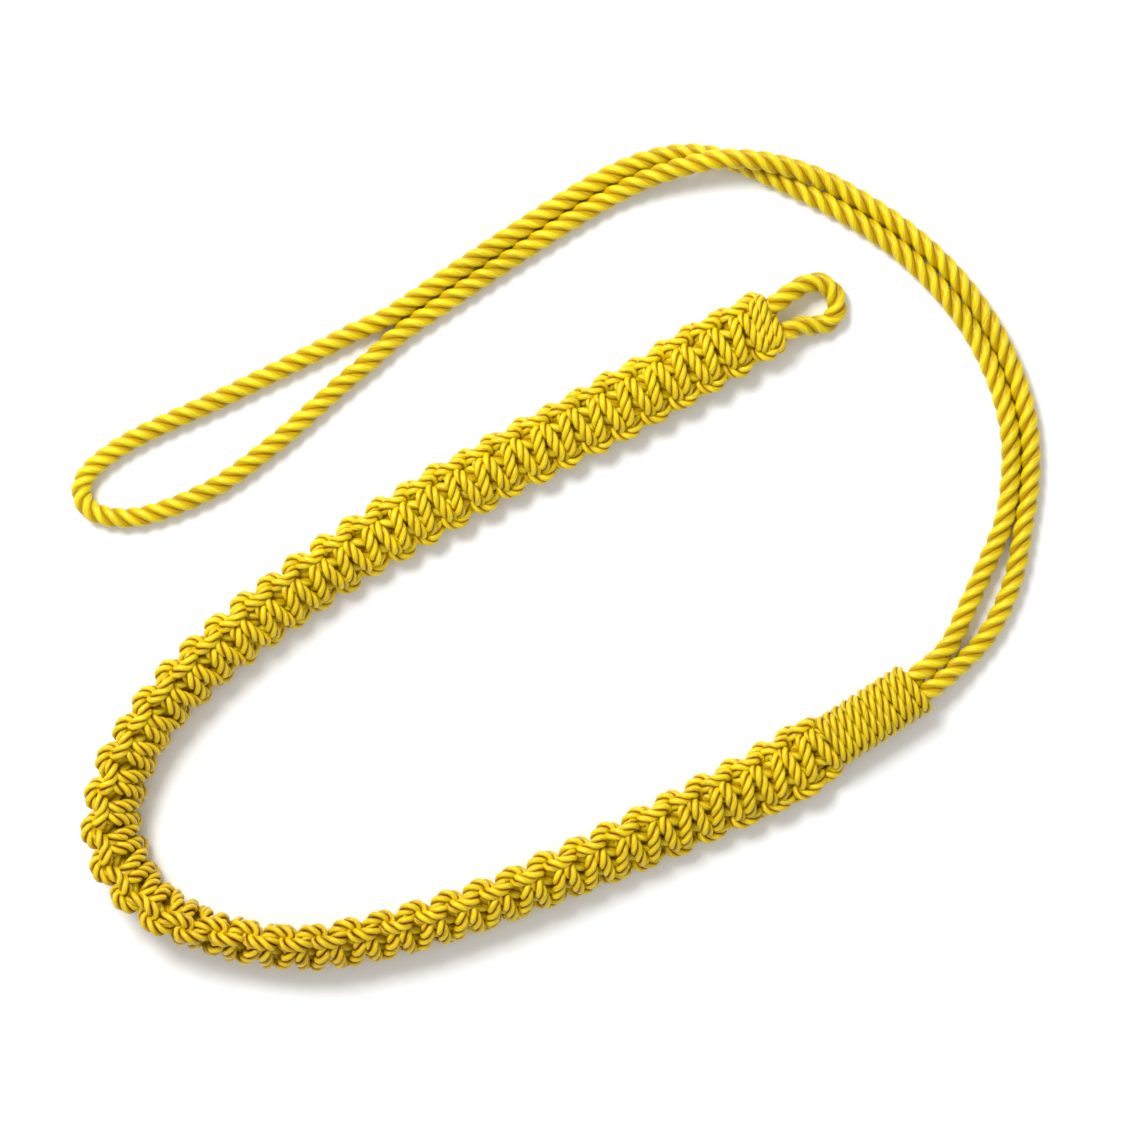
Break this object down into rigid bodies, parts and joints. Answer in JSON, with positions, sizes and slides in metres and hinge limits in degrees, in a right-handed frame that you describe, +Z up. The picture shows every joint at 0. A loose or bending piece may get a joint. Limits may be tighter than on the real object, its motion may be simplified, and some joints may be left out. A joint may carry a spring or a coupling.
{
  "type": "ceremonial lanyard",
  "caption": "Knotted ceremonial shoulder lanyard laid out in an open curl, with a whipped collar, a long doubled cord loop at one end and a small button eye at the other.",
  "frame": {"origin": "middle of the laid-out lanyard's outline, on the surface that it lies on", "axes": "+Z up from the surface, +X from the long loop's bight towards its side by the whipping, +Y towards the crossing of the long loop's two legs"},
  "size_m": [0.2487, 0.2114, 0.0186],
  "materials": {
    "laid_cord": "glossy laid viscose cord, golden yellow",
    "knotted_cord": "glossy laid viscose cord, golden yellow, darker between the knots"
  },
  "bodies": {
    "root": {"button_eye": "laid_cord", "eye_wrap": "knotted_cord", "knotted_band": "knotted_cord", "whipping": "knotted_cord", "long_loop": "laid_cord"}
  },
  "joints": []
}
